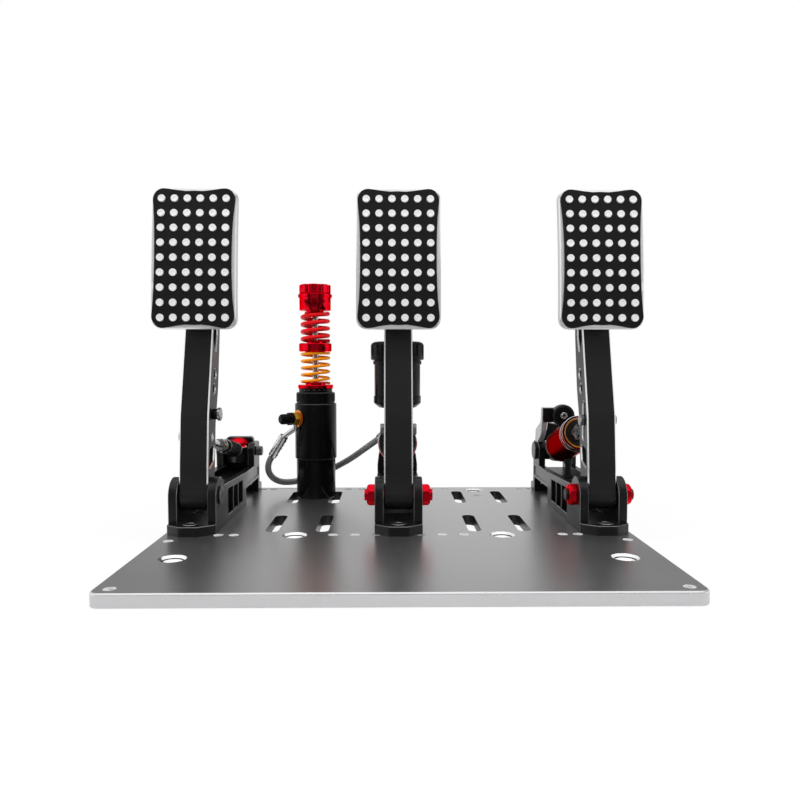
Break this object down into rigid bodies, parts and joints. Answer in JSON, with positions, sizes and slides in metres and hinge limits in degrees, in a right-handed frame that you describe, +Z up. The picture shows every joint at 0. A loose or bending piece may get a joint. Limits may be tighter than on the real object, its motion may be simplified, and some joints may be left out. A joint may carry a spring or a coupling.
{
  "type": "sim racing pedal set",
  "caption": "Clutch, brake and throttle pedals for a driving simulator on one slotted plate, with hydraulic brake and spring stack",
  "frame": {"origin": "centre of the plate's underside", "axes": "+X to the driver's right, +Y away from the driver, +Z up"},
  "size_m": [0.425, 0.378, 0.306],
  "materials": {
    "plate_grey": "satin anodised",
    "black_metal": "satin black anodised with bright cut edges",
    "silver_metal": "bead-blasted",
    "grip_black": "woven composite, semi-gloss",
    "steel": "turned",
    "bronze": "plain bearing bronze",
    "red_metal": "red anodised",
    "red_spring": "powder coated",
    "yellow_spring": "powder coated",
    "gold_metal": "gold plated",
    "black_plastic": "moulded",
    "grey_metal": "satin grey anodised",
    "hose_grey": "braided cover"
  },
  "bodies": {
    "base": {"base_plate": "plate_grey", "module_screws": "black_metal", "clutch_frame": "black_metal", "clutch_axle": "steel", "brake_frame": "black_metal", "brake_axle": "steel", "throttle_frame": "black_metal", "throttle_axle": "steel", "clutch_axle_caps": "black_plastic", "brake_axle_nuts": "red_metal", "throttle_axle_nuts": "red_metal", "clutch_rear_block": "black_metal", "throttle_rear_block": "black_metal", "clutch_rear_pin": "black_metal", "throttle_rear_pin": "black_metal", "dial_bracket": "grey_metal", "brake_cradle": "black_metal", "master_cylinder": "black_metal", "master_ring": "red_metal", "reservoir": "black_plastic", "slave_body": "black_metal", "slave_lock_ring": "black_metal", "slave_top_cup": "red_metal", "slave_rod": "steel", "banjo_bolts": "gold_metal", "bleed_cap": "black_plastic", "hose_fittings": "grey_metal", "hose": "hose_grey"},
    "clutch_pedal": {"clutch_arm": "black_metal", "clutch_bushes": "bronze", "clutch_pad": "silver_metal", "clutch_grip": "grip_black", "clutch_rod_pin": "steel"},
    "clutch_push_rod": {"clutch_rod": "steel"},
    "brake_pedal": {"brake_arm": "black_metal", "brake_bushes": "bronze", "brake_pad": "silver_metal", "brake_grip": "grip_black", "brake_rod_pin": "steel"},
    "brake_push_rod": {"brake_rod": "steel"},
    "throttle_pedal": {"throttle_arm": "black_metal", "throttle_bushes": "bronze", "throttle_pad": "silver_metal", "throttle_grip": "grip_black", "throttle_rod_pin": "steel"},
    "throttle_push_rod": {"throttle_rod": "steel"},
    "clutch_guide": {"clutch_cup": "red_metal", "clutch_spring": "steel"},
    "throttle_guide": {"throttle_cup": "red_metal", "throttle_cup_base": "black_metal", "throttle_spring": "yellow_spring"},
    "brake_piston": {"master_piston": "steel"},
    "slave_ram": {"slave_piston": "black_metal", "slave_flange": "red_metal", "slave_lower_spring": "yellow_spring"},
    "stack_collar": {"slave_collar": "red_metal", "slave_upper_spring": "red_spring"},
    "preload_knob": {"slave_knob": "red_metal"},
    "dial": {"throttle_dial": "black_plastic"},
    "cap": {"reservoir_cap": "black_plastic"}
  },
  "joints": [
    {"name": "clutch_swing", "type": "hinge", "parent": "base", "child": "clutch_pedal", "pos_m": [-0.176, -0.016, 0.0395], "axis": [-1, 0, 0], "range_deg": [0, 24], "stiffness_Nm_per_rad": 30, "springref_deg": -8.59},
    {"name": "brake_swing", "type": "hinge", "parent": "base", "child": "brake_pedal", "pos_m": [0, -0.016, 0.0395], "axis": [-1, 0, 0], "range_deg": [0, 10], "stiffness_Nm_per_rad": 300, "springref_deg": -1.15},
    {"name": "throttle_swing", "type": "hinge", "parent": "base", "child": "throttle_pedal", "pos_m": [0.176, -0.016, 0.0395], "axis": [-1, 0, 0], "range_deg": [0, 20], "stiffness_Nm_per_rad": 15, "springref_deg": -8.59},
    {"name": "clutch_rod_turn", "type": "hinge", "parent": "clutch_pedal", "child": "clutch_push_rod", "pos_m": [-0.176, -0.009, 0.09], "axis": [-1, 0, 0], "range_deg": [-25, 0]},
    {"name": "throttle_rod_turn", "type": "hinge", "parent": "throttle_pedal", "child": "throttle_push_rod", "pos_m": [0.176, -0.009, 0.1045], "axis": [-1, 0, 0], "range_deg": [-19.8, 0]},
    {"name": "brake_rod_turn", "type": "hinge", "parent": "brake_pedal", "child": "brake_push_rod", "pos_m": [0, -0.009, 0.0965], "axis": [-1, 0, 0], "range_deg": [-9.6, 0]},
    {"name": "clutch_guide_turn", "type": "hinge", "parent": "base", "child": "clutch_guide", "pos_m": [-0.176, 0.15, 0.0575], "axis": [-1, 0, 0], "range_deg": [-1, 0], "deforming": ["clutch_spring"]},
    {"name": "throttle_guide_turn", "type": "hinge", "parent": "base", "child": "throttle_guide", "pos_m": [0.176, 0.15, 0.0575], "axis": [-1, 0, 0], "range_deg": [0, 0.4], "deforming": ["throttle_spring"]},
    {"name": "brake_piston_slide", "type": "slide", "parent": "base", "child": "brake_piston", "axis": [0, 0.9636, -0.2672], "range_m": [0, 0.0102]},
    {"name": "slave_ram_slide", "type": "slide", "parent": "base", "child": "slave_ram", "axis": [0, 0, 1], "range_m": [0, 0.0064], "deforming": ["slave_lower_spring"]},
    {"name": "stack_collar_slide", "type": "slide", "parent": "base", "child": "stack_collar", "axis": [0, 0, 1], "range_m": [0, 0.0022], "deforming": ["slave_upper_spring"]},
    {"name": "preload_knob_turn", "type": "hinge", "parent": "base", "child": "preload_knob", "pos_m": [-0.088, 0.137, 0.233], "axis": [0, 0, 1], "continuous": true},
    {"name": "dial_turn", "type": "hinge", "parent": "base", "child": "dial", "pos_m": [0.176, 0.1175, 0.0988], "axis": [0, 1, 0], "continuous": true},
    {"name": "cap_turn", "type": "hinge", "parent": "base", "child": "cap", "pos_m": [0, 0.09, 0.166], "axis": [0, 0, 1], "continuous": true}
  ],
  "couplings": [
    {"joint": "clutch_rod_turn", "follows": "clutch_swing", "ratio": -1.0382},
    {"joint": "clutch_guide_turn", "follows": "clutch_swing", "ratio": -0.03825},
    {"joint": "throttle_rod_turn", "follows": "throttle_swing", "ratio": -0.98425},
    {"joint": "throttle_guide_turn", "follows": "throttle_swing", "ratio": 0.01575},
    {"joint": "brake_rod_turn", "follows": "brake_swing", "ratio": -0.9495},
    {"joint": "brake_piston_slide", "follows": "brake_swing", "m_per_rad": 0.057},
    {"joint": "slave_ram_slide", "follows": "brake_swing", "m_per_rad": 0.0359},
    {"joint": "stack_collar_slide", "follows": "brake_swing", "m_per_rad": 0.012}
  ]
}
